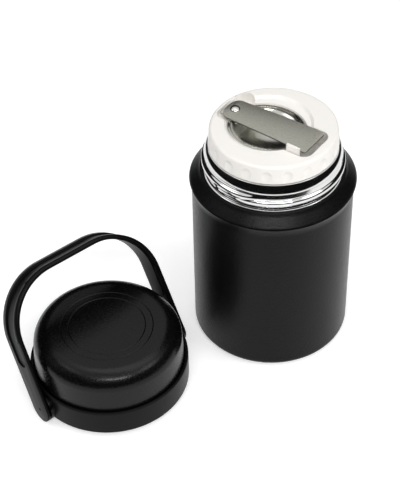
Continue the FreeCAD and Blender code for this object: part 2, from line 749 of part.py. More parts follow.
def build_lid_band():
    inside = "band_radius - band_wall"
    body = lathe("lid_band", [
        ("collar_outer + fit", "band_low"),
        ("band_radius", "band_low", "fine_round"),
        ("band_radius", "band_top", "fine_round"),
        (inside, "band_top"),
        (inside, "collar_top + fit"),
        ("collar_outer + fit", "collar_top + fit"),
    ])
    reach = "pivot_span - strap / 2 - seat"
    for name, side in (("ear_near", 90), ("ear_far", -90)):
        ear = body.newObject("PartDesign::AdditiveCylinder", name)
        tie(ear, Radius="ear_radius", Height="%s - (band_radius - ear_sink - band_wall)" % reach)
        ear.Placement.Rotation = FreeCAD.Rotation(FreeCAD.Vector(0, 1, 0), side)
        start = "-(%s)" % reach if side == 90 else reach
        tie(ear, Placement__Base__x=start, Placement__Base__z="pivot_height")
    primitive(body, "SubtractiveCylinder", "collar_space", Radius="collar_outer + fit",
              Height="collar_top + fit")
    primitive(body, "SubtractiveCylinder", "cup_space", z="collar_top + fit", Radius=inside,
              Height="band_top - collar_top")
    bore = body.newObject("PartDesign::SubtractiveCylinder", "pin_bore")
    tie(bore, Radius="pin_radius + pin_fit", Height="4 * band_radius")
    bore.Placement.Rotation = FreeCAD.Rotation(FreeCAD.Vector(0, 1, 0), 90)
    tie(bore, Placement__Base__x="-2 * band_radius", Placement__Base__z="pivot_height")
    body.Tip = bore
    return put(body, "lid_x", "lid_y", yaw="handle_heading")


def build_lid_thread_ring():
    return put(lathe("lid_thread_ring", [
        ("collar_inner", "0", "0.4"),
        ("collar_outer", "0", "0.4"),
        ("collar_outer", "collar_top - sheet"),
        ("collar_inner", "collar_top - sheet"),
    ]), "lid_x", "lid_y")


# Carrying handle, modelled with the pivot axis along X and the arch upwards in Y


def arch(shift):
    """The strap's outline at a distance outside its middle line, from foot to foot."""
    rise = "sqrt(pow(arch_height; 2) + pow(pivot_span - arch_half; 2))"
    foot = "pivot_span + (%s) * arch_height / %s" % (shift, rise)
    top = "arch_half + (%s) * (%s - pivot_span + arch_half) / arch_height" % (shift, rise)
    return foot, top, "arch_height + (%s)" % shift, "arch_round + (%s)" % shift


def arch_band(outer_shift, inner_shift, low):
    """A band between two such outlines, cut off level at a height."""
    foot_o, top_o, high_o, round_o = arch(outer_shift)
    foot_i, top_i, high_i, round_i = arch(inner_shift)
    foot_o = "%s + (%s - (%s)) * (%s) / (%s)" % (foot_o, top_o, foot_o, low, high_o)
    foot_i = "%s + (%s - (%s)) * (%s) / (%s)" % (foot_i, top_i, foot_i, low, high_i)
    return [
        ("-(%s)" % foot_o, low),
        ("-(%s)" % top_o, high_o, round_o),
        (top_o, high_o, round_o),
        (foot_o, low),
        (foot_i, low),
        (top_i, high_i, round_i),
        ("-(%s)" % top_i, high_i, round_i),
        ("-(%s)" % foot_i, low),
    ]


def lean_back(cutter, x, y, yaw):
    """Lay a cylinder level, so that it points out of the strap's leg."""
    vector = "create(<<vector>>; %s; %s; 0)" % (bound(x), bound(y))
    turn = "create(<<rotation>>; %s; 90; 0)" % bound(yaw)
    cutter.setExpression("Placement", "create(<<placement>>; %s; %s)" % (vector, turn))


def build_carry_handle():
    body = new_body("carry_handle")
    half = "strap_width / 2"
    pad(body, "strap_arch", "XY_Plane", arch_band("strap / 2", "-strap / 2", "-" + half), "strap_width",
        middle=True)
    pad(body, "strap_rib", "XY_Plane", arch_band("-strap / 2 + fit", "-strap / 2 - rib_rise", "channel_end"),
        "2 * rib_half", middle=True)
    past = half + " + fit"
    pocket(body, "strap_ends", "YZ_Plane", [
        ("-(%s)" % past, "-(%s)" % past),
        (past, "-(%s)" % past),
        (past, "0"),
        (half, "0"),
        (half, "-" + half, half + " - pin_fit"),
        ("-" + half, "-" + half, half + " - pin_fit"),
        ("-" + half, "0"),
        ("-(%s)" % past, "0"),
    ], "3 * pivot_span", middle=True)
    pocket(body, "strap_channel", "XY_Plane", arch_band("strap", "strap / 2 - channel_depth", "channel_end"),
           "2 * channel_half", middle=True)
    foot, top, high, round_off = arch("strap / 2 - channel_depth")
    wall = "%s + (%s - (%s)) * channel_end / (%s)" % (foot, top, foot, high)
    for name, side, yaw in (("channel_end_near", "-1", "180 - %s"), ("channel_end_far", "1", "%s")):
        end = body.newObject("PartDesign::SubtractiveCylinder", name)
        tie(end, Radius="channel_half", Height="2 * strap")
        lean_back(end, "%s * (%s)" % (side, wall), "channel_end", yaw % "atan(arch_in / arch_height) / 1 deg")
    bore = body.newObject("PartDesign::SubtractiveCylinder", "strap_bore")
    tie(bore, Radius="pin_radius - pin_step", Height="3 * pivot_span")
    bore.Placement.Rotation = FreeCAD.Rotation(FreeCAD.Vector(0, 1, 0), 90)
    tie(bore, Placement__Base__x="-1.5 * pivot_span")
    body.Tip = bore
    return put(body, "lid_x", "lid_y", "pivot_height", "handle_heading", "90 - handle_lean")


def build_pivot_pin(name, side):
    """A pin pressed into the strap, with its wider shaft in the ear's bore."""
    inner = "pivot_span - strap / 2 - 2 * pin_fit"
    outer = "pivot_span + strap / 2 - seat"
    body = lathe(name, [
        ("0", "collar_outer + 2 * fit"),
        ("pin_radius", "collar_outer + 2 * fit"),
        ("pin_radius", inner),
        ("pin_radius - pin_step", inner),
        ("pin_radius - pin_step", outer),
        ("0", outer),
    ])
    vector = "create(<<vector>>; %s; %s; %s)" % (bound("lid_x"), bound("lid_y"), bound("pivot_height"))
    turn = "create(<<rotation>>; %s; 90; 0)" % bound("handle_heading + %d" % side)
    body.setExpression("Placement", "create(<<placement>>; %s; %s)" % (vector, turn))
    return body


pieces = [
    build_outer_shell(),
    build_inner_vessel(),
    build_radiation_shield(),
    build_getter(),
    build_base_plate(),
    build_vacuum_plug(),
    build_base_cover(),
    build_stopper_shell(),
    build_stopper_plug(),
    build_stopper_foam(),
    build_stopper_seal(),
    build_spoon_bowl(),
    build_spoon_handle(),
    build_spoon_rivet(),
    build_lid_cup(),
    build_lid_liner(),
    build_lid_foam(),
    build_lid_band(),
    build_lid_thread_ring(),
    build_carry_handle(),
    build_pivot_pin("pivot_pin_near", 180),
    build_pivot_pin("pivot_pin_far", 0),
]
doc.recompute()

for thing in doc.Objects:
    if "Invalid" in thing.State or "Error" in thing.State:
        raise RuntimeError("%s failed: %s" % (thing.Label, thing.State))
for piece in pieces:
    if piece.Shape.isNull() or not piece.Shape.isValid():
        raise RuntimeError("%s has no valid shape" % piece.Label)
    print("%-18s solids %d  volume %9.1f  z %.2f to %.2f" % (
        piece.Label, len(piece.Shape.Solids), piece.Shape.Volume,
        piece.Shape.BoundBox.ZMin, piece.Shape.BoundBox.ZMax))
for piece in pieces:
    piece.Shape.exportStep(os.path.join("parts", piece.Label + ".step"))
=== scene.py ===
# %% [markdown]
# # An insulated food jar, beside its screw-off lid
# The real object is a double-walled steel jar with a black powder coat. A cream stopper closes it
# and carries a folding spoon in a recess. The black lid doubles as a cup and has a strap to carry it.
# The measured model is loaded first and stays where it is. This lesson gives it its finishes, and
# models again, with softer edges, the pieces that the eye rests on.
# All sizes here are in millimetres, and MM turns them into Blender's metres. Only the camera, the
# lamps and the room round them are given in metres.

# %% Load the measured model
import math
import bpy
from mathutils import Matrix, Vector


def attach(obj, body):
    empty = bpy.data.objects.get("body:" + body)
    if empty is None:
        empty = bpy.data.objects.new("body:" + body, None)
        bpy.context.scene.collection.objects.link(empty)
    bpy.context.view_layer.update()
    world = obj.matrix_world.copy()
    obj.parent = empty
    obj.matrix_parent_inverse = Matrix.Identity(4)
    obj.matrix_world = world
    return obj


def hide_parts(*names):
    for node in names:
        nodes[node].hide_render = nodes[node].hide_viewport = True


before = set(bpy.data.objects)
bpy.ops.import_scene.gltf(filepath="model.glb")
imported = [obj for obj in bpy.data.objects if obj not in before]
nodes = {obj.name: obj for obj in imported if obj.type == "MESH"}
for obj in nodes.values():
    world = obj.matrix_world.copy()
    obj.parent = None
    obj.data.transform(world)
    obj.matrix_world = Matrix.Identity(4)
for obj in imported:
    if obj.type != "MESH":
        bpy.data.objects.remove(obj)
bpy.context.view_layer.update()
MM = 0.001

# %% [markdown]
# ## The camera
# The photographer stood in front and well above, looking down at about 43 degrees with a long lens.
# The lens and place were found from the ellipses of the jar's rim and foot, whose real size is known.
# A camera looks along its own -Z with +Y up, so its matrix is made of three directions in columns.

# %% Set up the camera
CAMERA_PLACE = (0, -0.6255, 0.6405)
CAMERA_HEADING = math.radians(-3.79)
CAMERA_TILT = math.radians(43.35)
CAMERA_ROLL = -0.0258
LENS = 106.73
SENSOR_WIDTH = 36
ahead = math.cos(CAMERA_TILT)
looking = Vector((math.sin(CAMERA_HEADING) * ahead, math.cos(CAMERA_HEADING) * ahead, -math.sin(CAMERA_TILT)))
level = looking.cross(Vector((0, 0, 1))).normalized()
above = level.cross(looking)
right = level * math.cos(CAMERA_ROLL) + above * math.sin(CAMERA_ROLL)
up = above * math.cos(CAMERA_ROLL) - level * math.sin(CAMERA_ROLL)
camera_data = bpy.data.cameras.new("camera")
camera_data.lens = LENS
camera_data.sensor_width = SENSOR_WIDTH
camera = bpy.data.objects.new("camera", camera_data)
directions = Matrix((right, up, -looking)).transposed().to_4x4()
camera.matrix_world = Matrix.Translation(CAMERA_PLACE) @ directions
bpy.context.scene.collection.objects.link(camera)
bpy.context.scene.camera = camera
print("camera at", [round(c, 3) for c in camera.location], "lens", camera_data.lens)

# %% [markdown]
# ## Selecting
# Blender's operators act on whatever is selected, so every step starts by clearing the selection.
# In edit mode, the parts to work on are picked by their place, with a test of each corner in mm.
# Two places count as the same when they are NEAR each other.


# %% Helpers for selecting
NEAR = 0.02


def clear_selection():
    for thing in bpy.context.selected_objects:
        thing.select_set(False)


def work_on(thing):
    """Make one object the selected and active one."""
    clear_selection()
    thing.select_set(True)
    bpy.context.view_layer.objects.active = thing


def edit(thing):
    work_on(thing)
    bpy.ops.object.mode_set(mode="EDIT")


def done():
    bpy.ops.object.mode_set(mode="OBJECT")


def pick(thing, test, kind="EDGE"):
    """In edit mode, select the edges or faces whose corners all pass a test of their place in mm."""
    bpy.ops.mesh.select_mode(type=kind)
    bpy.ops.mesh.select_all(action="DESELECT")
    done()
    mesh = thing.data
    fits = [test(corner.co / MM) for corner in mesh.vertices]
    parts = mesh.edges if kind == "EDGE" else mesh.polygons
    for part in parts:
        part.select = all(fits[i] for i in part.vertices)
    bpy.ops.object.mode_set(mode="EDIT")


# %% [markdown]
# ## Softening
# No real edge is perfectly sharp. A narrow bevel along every sharp edge catches the light, as the
# real one does. A modifier is applied at once, so that the next step sees its result.


# %% Helpers for softening
def apply_modifier(thing, kind, **settings):
    work_on(thing)
    step = thing.modifiers.new(kind.title(), kind)
    for word, value in settings.items():
        setattr(step, word, value)
    bpy.ops.object.modifier_apply(modifier=step.name)


def smooth(thing, angle):
    """Shade smooth where faces meet below an angle in degrees."""
    work_on(thing)
    bpy.ops.object.shade_smooth_by_angle(angle=math.radians(angle))


def soften(thing, width, segments=3, angle=30):
    """Round every sharp edge by a bevel, then shade it smooth."""
    apply_modifier(thing, "BEVEL", width=width * MM, segments=segments, limit_method="ANGLE",
                   angle_limit=math.radians(angle), use_clamp_overlap=True)
    smooth(thing, angle)


# %% [markdown]
# ## Joining and settling
# A piece is modelled where that is easiest and then settled: its place goes into its mesh, and the
# object itself stays at the origin. Corners that coincide become one, and all faces turn outwards.

# %% Helpers for joining and settling
DOUBLES = 0.004


def join(things):
    """Make several objects one, under the first one's name."""
    work_on(things[0])
    for thing in things:
        thing.select_set(True)
    bpy.ops.object.join()


def settle(thing, place=None):
    """Put a piece at its place and leave its object at the origin, with the place in the mesh."""
    work_on(thing)
    bpy.ops.object.transform_apply(location=True, rotation=True, scale=True)
    if place is not None:
        thing.data.transform(place)
    edit(thing)
    bpy.ops.mesh.select_all(action="SELECT")
    bpy.ops.mesh.remove_doubles(threshold=DOUBLES * MM)
    bpy.ops.mesh.normals_make_consistent(inside=False)
    done()


# %% [markdown]
# ## Handing a piece over
# Every new piece ends in the same way. Weighted normals let its large flat faces shade flat beside
# their rounded edges. Then it gets its finish, the moving body that it rides on and the measured
# pieces that it stands for, which are hidden.

# %% Helpers for handing over
def dress(thing, material):
    thing.data.materials.clear()
    thing.data.materials.append(material)


def hand_over(thing, body, slot_name, material, *stands_for):
    """Give a new piece its flat shading, material, body and replaced nodes. The slot name is not used."""
    apply_modifier(thing, "WEIGHTED_NORMAL", keep_sharp=True, weight=100)
    dress(thing, material)
    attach(thing, body)
    if stands_for:
        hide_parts(*stands_for)
    print(thing.name, "on", body, "with", len(thing.data.polygons), "faces")


# %% [markdown]
# ## Building a finish from nodes
# Every finish here is a Principled shader with three things added: a faint change of colour, a faint
# change of gloss, and a bump. All come from one noise on Object coordinates, so the grain keeps its
# real size. Stretching the coordinates turns specks into the lines that brushing leaves in steel.
# The noise seldom leaves the span between NOISE_LOW and NOISE_HIGH, so those two mark the ends.

# %% Helper for the grain
NOISE_LOW = 0.3
NOISE_HIGH = 0.7
NOISE_DETAIL = 3.0


def grain_noise(tree, grain, stretch, turn):
    """Noise whose specks are as wide as the grain in mm, stretched and turned."""
    place = tree.nodes.new("ShaderNodeTexCoord")
    mapping = tree.nodes.new("ShaderNodeMapping")
    mapping.vector_type = "TEXTURE"
    mapping.inputs["Rotation"].default_value = (0, 0, turn)
    mapping.inputs["Scale"].default_value = stretch
    tree.links.new(place.outputs["Object"], mapping.inputs["Vector"])
    noise = tree.nodes.new("ShaderNodeTexNoise")
    noise.inputs["Scale"].default_value = 1 / (grain * MM)
    noise.inputs["Detail"].default_value = NOISE_DETAIL
    tree.links.new(mapping.outputs["Vector"], noise.inputs["Vector"])
    return noise.outputs["Fac"]


# %% Helpers for colour and gloss
GLOSSIEST = 0.02


def vary_colour(tree, noise, shader, colour, mottle):
    """Darken and lighten a colour by a share of it."""
    shades = tree.nodes.new("ShaderNodeValToRGB")
    dark, light = shades.color_ramp.elements
    dark.position = NOISE_LOW
    light.position = NOISE_HIGH
    dark.color = [c * (1 - mottle) for c in colour] + [1]
    light.color = [min(1, c * (1 + mottle)) for c in colour] + [1]
    tree.links.new(noise, shades.inputs["Fac"])
    tree.links.new(shades.outputs["Color"], shader.inputs["Base Color"])


def vary_gloss(tree, noise, shader, roughness, spread):
    """Move the roughness up and down by a little."""
    shader.inputs["Roughness"].default_value = roughness
    span = tree.nodes.new("ShaderNodeMapRange")
    span.inputs["From Min"].default_value = NOISE_LOW
    span.inputs["From Max"].default_value = NOISE_HIGH
    span.inputs["To Min"].default_value = max(GLOSSIEST, roughness - spread)
    span.inputs["To Max"].default_value = min(1.0, roughness + spread)
    tree.links.new(noise, span.inputs["Value"])
    tree.links.new(span.outputs["Result"], shader.inputs["Roughness"])


# %% Helper for relief
def raise_relief(tree, noise, shader, height, edge_radius):
    """Raise the grain by a height in mm. An edge radius also softens the look of every edge."""
    relief = tree.nodes.new("ShaderNodeBump")
    relief.inputs["Distance"].default_value = height * MM
    relief.inputs["Strength"].default_value = 1.0
    tree.links.new(noise, relief.inputs["Height"])
    tree.links.new(relief.outputs["Normal"], shader.inputs["Normal"])
    if edge_radius:
        edge = tree.nodes.new("ShaderNodeBevel")
        edge.inputs["Radius"].default_value = edge_radius * MM
        tree.links.new(edge.outputs["Normal"], relief.inputs["Normal"])


# %% Helper for a whole finish
def finish(name, colour, roughness, metallic=0.0, grain=0.3, bump=0.02, stretch=(1, 1, 1), turn=0.0,
           mottle=0.06, rough_spread=0.05, specular=0.5, rounded=0.0):
    """A material with grain of a given size and height in mm."""
    material = bpy.data.materials.new(name)
    material.use_nodes = True
    tree = material.node_tree
    shader = tree.nodes["Principled BSDF"]
    shader.inputs["Metallic"].default_value = metallic
    shader.inputs["Specular IOR Level"].default_value = specular
    noise = grain_noise(tree, grain, stretch, turn)
    vary_colour(tree, noise, shader, colour, mottle)
    vary_gloss(tree, noise, shader, roughness, rough_spread)
    raise_relief(tree, noise, shader, bump, rounded)
    print("finish:", name, "grain", grain, "mm")
    return material


# %% [markdown]
# ## The black finishes
# The jar's coat is a baked powder: it flows into a fine pebbled skin that scatters the light a little.
# The lid is sprayed with the same black, but smoother. Its collar and the strap are moulded plastic
# with a very fine grain. Black this deep is nearly all reflection, so its colour is close to nothing
# and the gloss does the work.

# %% Make the black finishes
coat = finish("coat", (0.0035, 0.0035, 0.0037), 0.32, grain=0.95, bump=0.15, mottle=0.4, specular=0.12)
lid_coat = finish("lid_coat", (0.0026, 0.0026, 0.0028), 0.24, grain=0.85, bump=0.06, mottle=0.5,
                  specular=0.2)
strap_plastic = finish("strap_plastic", (0.004, 0.004, 0.0042), 0.36, grain=0.3, bump=0.008,
                       mottle=0.25, specular=0.09)

# %% [markdown]
# ## The steels
# Steel comes in several states here. It is polished at the neck and mouth, satin on the spoon's
# handle, where the brushing runs along the blade, and bright on the bowl. The lid's inside and the
# base cover are left as drawn, and the hidden base plate is dull. A foil fills the vacuum space.

# %% Make the steels
SPOON_HEADING = math.radians(-33)
polished = finish("polished", (0.62, 0.62, 0.615), 0.07, metallic=1, grain=0.25, bump=0.0006,
                  stretch=(6, 6, 0.4), mottle=0.03, rough_spread=0.03)
drawn_steel = finish("drawn_steel", (0.62, 0.62, 0.61), 0.24, metallic=1, grain=0.2, bump=0.0015,
                     stretch=(8, 8, 0.4), mottle=0.05)
satin = finish("satin", (0.37, 0.365, 0.32), 0.3, metallic=1, grain=0.12, bump=0.0008,
               stretch=(14, 1, 1), turn=SPOON_HEADING, rough_spread=0.06)
bright = finish("bright", (0.50, 0.495, 0.465), 0.16, metallic=1, grain=0.6, bump=0.0012, mottle=0.04)
dull_steel = finish("dull_steel", (0.42, 0.42, 0.41), 0.4, metallic=1, grain=0.5, bump=0.003, mottle=0.1)
foil = finish("foil", (0.72, 0.72, 0.72), 0.22, metallic=1, grain=3.0, bump=0.15, mottle=0.04)

# %% [markdown]
# ## The pale finishes
# The stopper is cream plastic with a soft gloss, and its moulded edges are a little round. Inside it
# there is a stiff foam, and a ring of silicone seals the mouth.

# %% Make the pale finishes
cream = finish("cream", (0.90, 0.875, 0.835), 0.36, grain=0.5, bump=0.002, mottle=0.012, specular=0.4,
               rounded=0.45)
foam = finish("foam", (0.72, 0.66, 0.48), 0.85, grain=0.7, bump=0.12, mottle=0.12)
silicone = finish("silicone", (0.75, 0.75, 0.73), 0.42, grain=0.8, bump=0.004, mottle=0.03, specular=0.35)

# %% [markdown]
# ## Dressing the measured pieces
# The pieces whose measured shape is right already only need a finish. The others get theirs too, and
# are modelled again below: the jar's coat, for one, stops at the neck, because the steel is masked
# there before it is sprayed.

# %% Dress the measured pieces
FINISHES = {
    "outer_shell": coat, "inner_vessel": polished, "radiation_shield": foil, "getter": dull_steel,
    "base_plate": dull_steel, "vacuum_plug": dull_steel, "base_cover": drawn_steel,
    "stopper_shell": cream, "stopper_plug": cream, "stopper_foam": foam, "stopper_seal": silicone,
    "spoon_bowl": bright, "spoon_handle": satin, "spoon_rivet": bright,
    "lid_cup": lid_coat, "lid_liner": drawn_steel, "lid_foam": foam,
    "lid_band": strap_plastic, "lid_thread_ring": strap_plastic,
    "carry_handle": strap_plastic, "pivot_pin_near": strap_plastic, "pivot_pin_far": strap_plastic,
}
for node_name, material in FINISHES.items():
    dress(nodes[node_name], material)
print("dressed:", len(FINISHES), "of", len(nodes))

# %% [markdown]
# ## Turned pieces
# A spun jar is a lathe shape. One ring of points is added, then pulled along the outline: extruded,
# scaled to the next radius and lifted to the next height. Corners that are soft on the real jar are
# beveled ring by ring. This keeps long clean bands of faces, which steel and gloss need.
# A ring can't be scaled up again from nothing, so where the outline meets the axis it first keeps a
# tiny ring, the pole, which is drawn together to one point at the end.

# %% Helpers for one ring
POLE = 0.3
STEPS_PER_MM = 2.5
FEWEST_STEPS = 2
MOST_STEPS = 14


def on_ring(radius, height):
    """A test that is true for corners on a ring."""
    return lambda p: abs(math.hypot(p.x, p.y) - radius) < NEAR and abs(p.z - height) < NEAR


def round_ring(piece, radius, height, rounding):
    """Bevel one ring of edges."""
    pick(piece, on_ring(radius, height))
    steps = max(FEWEST_STEPS, min(MOST_STEPS, round(rounding * STEPS_PER_MM)))
    bpy.ops.mesh.bevel(offset=rounding * MM, offset_type="OFFSET", segments=steps, affect="EDGES")


def close_pole(piece, height):
    """Draw the tiny ring round the axis together to one point."""
    pick(piece, on_ring(POLE, height))
    bpy.ops.mesh.merge(type="CENTER")


# %% Helper for turned pieces
def turned(name, rings, sides=160):
    """A closed lathe shape: rings are (radius, height) or (radius, height, rounding) in mm."""
    clear_selection()
    radius, height = max(rings[0][0], POLE), rings[0][1]
    bpy.ops.mesh.primitive_circle_add(vertices=sides, radius=radius * MM, location=(0, 0, height * MM))
    piece = bpy.context.object
    piece.name = name
    bpy.ops.object.transform_apply(location=True)
    edit(piece)
    bpy.ops.mesh.select_all(action="SELECT")
    for ring in rings[1:] + rings[:1]:
        bpy.ops.mesh.extrude_edges_move()
        factor = max(ring[0], POLE) / radius
        bpy.ops.transform.resize(value=(factor, factor, 1), center_override=(0, 0, 0))
        bpy.ops.transform.translate(value=(0, 0, (ring[1] - height) * MM))
        radius, height = max(ring[0], POLE), ring[1]
    bpy.ops.mesh.select_all(action="SELECT")
    bpy.ops.mesh.remove_doubles(threshold=DOUBLES * MM)
    for ring in rings:
        if len(ring) == 3:
            round_ring(piece, *ring)
        if ring[0] == 0:
            close_pole(piece, ring[1])
    bpy.ops.mesh.select_all(action="SELECT")
    bpy.ops.mesh.normals_make_consistent(inside=False)
    done()
    smooth(piece, 25)
    return piece


# %% [markdown]
# ## The jar's coated wall
# The steel wall swells into a bead under the shoulder, which slopes up to the neck. The coat covers
# it down to the foot, and rolls a little way under it. The same outline serves as in the measured
# model, with the roundings that the light shows on the real jar. The inside of the wall follows the
# outside, one thickness further in.

# %% Turn the coated wall
WALL = 0.8
BODY_RADIUS = 45.0
FOOT_EDGE = 36.0
FOOT_ROUND = 4.0
BEAD_START = 104.5
BEAD_RADIUS = 46.4
BEAD_HEIGHT = 107.3
COAT_TOP = 114.5
jar_coat = turned("jar_coat", [
    (FOOT_EDGE, 0.0),
    (BODY_RADIUS, 0.0, FOOT_ROUND),
    (BODY_RADIUS, BEAD_START, 3.0),
    (BEAD_RADIUS, BEAD_HEIGHT, 1.2),
    (41.0, 112.9, 1.2),
    (40.1, 114.4, 0.4),
    (38.3, COAT_TOP),
    (37.5, 112.0),
    (BODY_RADIUS - WALL, BEAD_START - WALL),
    (BODY_RADIUS - WALL, WALL, FOOT_ROUND - WALL),
    (FOOT_EDGE, WALL),
])
hand_over(jar_coat, "jar", "black_coat", coat, "outer_shell")

# %% [markdown]
# ## The polished neck
# Above the coat the neck is bare polished steel. A small bead hides the edge of the coat, and the wall
# leans in a little towards the mouth. The thread will be pushed out of this wall, so the outline is
# cut into many short steps, which give it rings of corners to move.

# %% Turn the neck
NECK_LOW = 113.0
NECK_TOP = 124.9
NECK_INSIDE = 36.9
NECK_OUTSIDE = 37.3
NECK_STEP = 0.22
NECK_LINE = [(38.6, NECK_LOW), (38.6, 114.4), (39.3, 114.6), (39.3, 115.0), (38.9, 115.3),
             (38.15, 115.5), (38.4, 117.2), (38.3, 119.0), (38.1, 122.0), (37.4, NECK_TOP)]
neck_rings = []
for (r0, z0), (r1, z1) in zip(NECK_LINE, NECK_LINE[1:]):
    parts = max(1, round((z1 - z0) / NECK_STEP))
    neck_rings += [(r0 + (r1 - r0) * i / parts, z0 + (z1 - z0) * i / parts) for i in range(parts)]
neck_rings += [NECK_LINE[-1], (NECK_INSIDE, NECK_TOP), (NECK_INSIDE, NECK_LOW)]
jar_neck = turned("jar_neck", neck_rings, sides=220)
print("neck:", len(neck_rings), "rings")

# %% [markdown]
# ## The rolled thread
# A rolled thread is a soft wave in the wall. It runs once round, and where it starts and ends, front
# left, the two ends pass one above the other and sink back into the wall. A flat-topped curve gives
# the wave its shape, and the same kind of soft step fades it in and out.

# %% Helper for the thread
THREAD_MIDDLE = 120.2
THREAD_PITCH = 2.4
THREAD_HALF = 2.3
THREAD_OUT = 1.35
THREAD_START = math.radians(222)
THREAD_LENGTH = 1.12 * math.tau
THREAD_FADE = math.radians(24)


def thread_swell(angle, height):
    """How far the wall stands out at an angle round the neck and a height, in mm."""
    out = 0.0
    for lap in (0, 1):
        along = (angle - THREAD_START) % math.tau + lap * math.tau
        if along > THREAD_LENGTH:
            continue
        fade = min(1.0, along / THREAD_FADE, (THREAD_LENGTH - along) / THREAD_FADE)
        middle = THREAD_MIDDLE + THREAD_PITCH * (along / THREAD_LENGTH - 0.5)
        away = (height - middle) / THREAD_HALF
        if abs(away) < 1:
            out = max(out, THREAD_OUT * fade * fade * (3 - 2 * fade) * (1 - away ** 4) ** 2)
    return out


# %% Push the thread out of the neck
swells = []
for corner in jar_neck.data.vertices:
    place = corner.co / MM
    radius = math.hypot(place.x, place.y)
    if radius > NECK_OUTSIDE:
        swells.append(thread_swell(math.atan2(place.y, place.x), place.z))
        grown = 1 + swells[-1] / radius
        corner.co.x *= grown
        corner.co.y *= grown
smooth(jar_neck, 80)
print("thread stands out by", round(max(swells), 2), "mm")
hand_over(jar_neck, "jar", "steel", polished)

# %% [markdown]
# ## The inner vessel and its rolled mouth
# The inner wall is one deep-drawn steel bottle inside the outer one. At the mouth it is rolled over
# and leans in towards the stopper, so it mirrors the dark wall, above a thread that mirrors the
# white table. The bottle is turned like the rest, from its floor up to the lip and back down inside.

# %% Turn the vessel
VESSEL_RADIUS = 41.4
VESSEL_LOW = 6.6
VESSEL_ROUND = 9.8
THROAT_RADIUS = 34.4
LIP_TOP = 130.5
jar_vessel = turned("jar_vessel", [
    (0, VESSEL_LOW),
    (VESSEL_RADIUS, VESSEL_LOW, VESSEL_ROUND),
    (VESSEL_RADIUS, 99.0, 2.0),
    (THROAT_RADIUS, 107.0),
    (THROAT_RADIUS, 129.2),
    (35.6, 129.0),
    (36.8, 124.6),
    (37.7, 124.6, 0.2),
    (38.15, 125.2, 0.3),
    (38.0, 125.9),
    (37.75, 127.0),
    (37.35, 128.2),
    (36.75, 129.4),
    (36.15, 130.2),
    (35.4, LIP_TOP),
    (34.2, LIP_TOP),
    (THROAT_RADIUS - WALL, 130.1, 0.4),
    (THROAT_RADIUS - WALL, 106.6),
    (VESSEL_RADIUS - WALL, 98.6, 2.0),
    (VESSEL_RADIUS - WALL, VESSEL_LOW + WALL, VESSEL_ROUND - WALL),
    (0, VESSEL_LOW + WALL),
], sides=200)
hand_over(jar_vessel, "jar", "steel", polished, "inner_vessel")

# %% [markdown]
# ## The stopper's cap
# The cap is one moulding: a disc with a rounded edge, a shallow finger dish, a hollow for the
# spoon's bowl, a slot for its handle, a notch for its rivet end and a scoop for a fingertip.
# It starts as a turned disc, a little wider at its lower edge.

# %% Turn the cap
CAP_RADIUS = 35.0
CAP_FLARE = 0.8
CAP_LOW = 130.7
CAP_TOP = 141.5
stopper_cap = turned("stopper_cap", [
    (0, CAP_LOW),
    (CAP_RADIUS + CAP_FLARE, CAP_LOW, 0.4),
    (CAP_RADIUS, CAP_TOP, 1.6),
    (0, CAP_TOP),
], sides=200)
print("cap:", 2 * CAP_RADIUS, "mm wide")

# %% [markdown]
# ## Tools for hollows
# Each hollow is a simple shape that is cut out with a Boolean, as a mould would leave it. Three kinds
# are enough: a block whose upright corners can be round, a ball pulled to an oval, and a rod.

# %% Helper for a block
CORNER_STEPS = 10


def block(name, along, across, levels, corners=(0, 0), rounding=0.0):
    """A block between two places along, across and up. Corners are the upright radii at its two ends."""
    clear_selection()
    spans = (along, across, levels)
    bpy.ops.mesh.primitive_cube_add(size=1)
    shape = bpy.context.object
    shape.name = name
    shape.scale = [(span[1] - span[0]) * MM for span in spans]
    shape.location = [(span[1] + span[0]) / 2 * MM for span in spans]
    bpy.ops.object.transform_apply(location=True, scale=True)
    edit(shape)
    for end, radius in zip(along, corners):
        if radius:
            for side in across:
                pick(shape, lambda p: abs(p.x - end) < NEAR and abs(p.y - side) < NEAR)
                bpy.ops.mesh.bevel(offset=radius * MM, segments=CORNER_STEPS, affect="EDGES")
    done()
    if rounding:
        soften(shape, rounding)
    return shape


# %% Helpers for a ball and a rod
def ball(name, place, half_sizes, segments, rings):
    """A sphere pulled to three half sizes."""
    clear_selection()
    bpy.ops.mesh.primitive_uv_sphere_add(segments=segments, ring_count=rings, radius=MM,
                                         location=[c * MM for c in place], scale=half_sizes)
    shape = bpy.context.object
    shape.name = name
    bpy.ops.object.transform_apply(location=True, scale=True)
    return shape


def rod(name, place, radius, length, sides, heading=(0, 0, 0)):
    """A cylinder, upright unless it is turned."""
    clear_selection()
    bpy.ops.mesh.primitive_cylinder_add(vertices=sides, radius=radius * MM, depth=length * MM,
                                        location=[c * MM for c in place], rotation=heading)
    shape = bpy.context.object
    shape.name = name
    return shape


# %% Helpers for carving
def carve(piece, tool, operation="DIFFERENCE"):
    """Cut a tool's shape out of a piece, or add it, and take the tool away."""
    apply_modifier(piece, "BOOLEAN", operation=operation, object=tool, solver="EXACT")
    top = max(corner.co.z for corner in piece.data.vertices) / MM
    print(operation.lower(), tool.name, "leaves", len(piece.data.polygons), "faces, top at", round(top, 2))
    bpy.data.objects.remove(tool)


SPOON_TURN = Matrix.Rotation(SPOON_HEADING, 4, "Z")


def carve_cap(tool, operation="DIFFERENCE"):
    """Turn a tool to the spoon's heading and carve the cap with it."""
    settle(tool, SPOON_TURN)
    carve(stopper_cap, tool, operation)


# %% [markdown]
# ## Carving the cap
# The spoon points to the front right, so the shapes are laid out along X and then turned by its
# heading. It lies a little to one side of the middle. The dish is a shallow cone, the bowl's hollow
# an oval ball. Slot and notch are blocks with one round end, and the scoop is a rod with a soft rim.

